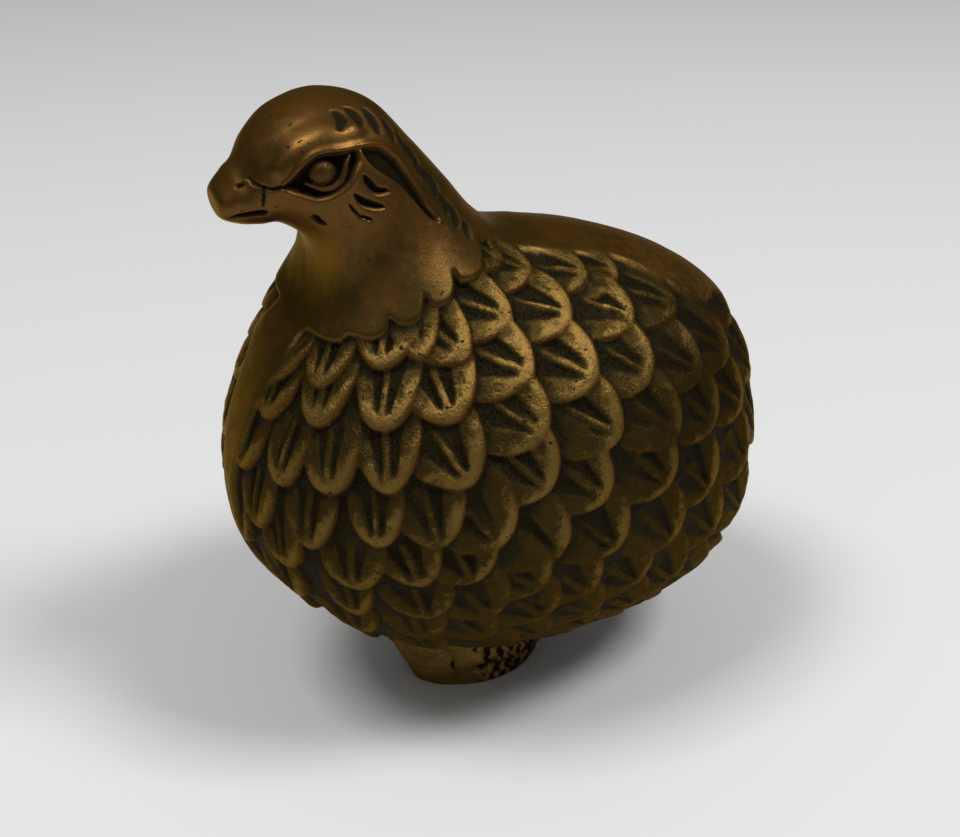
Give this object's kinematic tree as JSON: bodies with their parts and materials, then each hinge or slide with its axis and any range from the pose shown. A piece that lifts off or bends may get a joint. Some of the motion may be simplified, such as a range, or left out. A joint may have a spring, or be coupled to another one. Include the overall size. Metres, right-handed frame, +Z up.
{
  "type": "brass bird figurine",
  "caption": "Plump cast brass bird with overlapping engraved feathers, a smooth hooded head and two short flat feet, for standing on a shelf.",
  "frame": {"origin": "on the surface the feet stand on, under the middle of the body's length and width", "axes": "+Z up; -Y forward, the way the beak points; +X to the bird's own left"},
  "size_m": [0.0672, 0.0904, 0.1017],
  "materials": {
    "cast_brass": "cast brass with a dark patina left in the feather valleys and worn olive-gold rims",
    "foot_brass": "rough cast brass, dark patina",
    "braze_alloy": "pale brazing alloy, as run"
  },
  "bodies": {
    "root": {"left_shell": "cast_brass", "right_shell": "cast_brass", "seam_braze": "braze_alloy", "left_foot": "foot_brass", "right_foot": "foot_brass", "left_foot_braze": "braze_alloy", "right_foot_braze": "braze_alloy"}
  },
  "joints": []
}
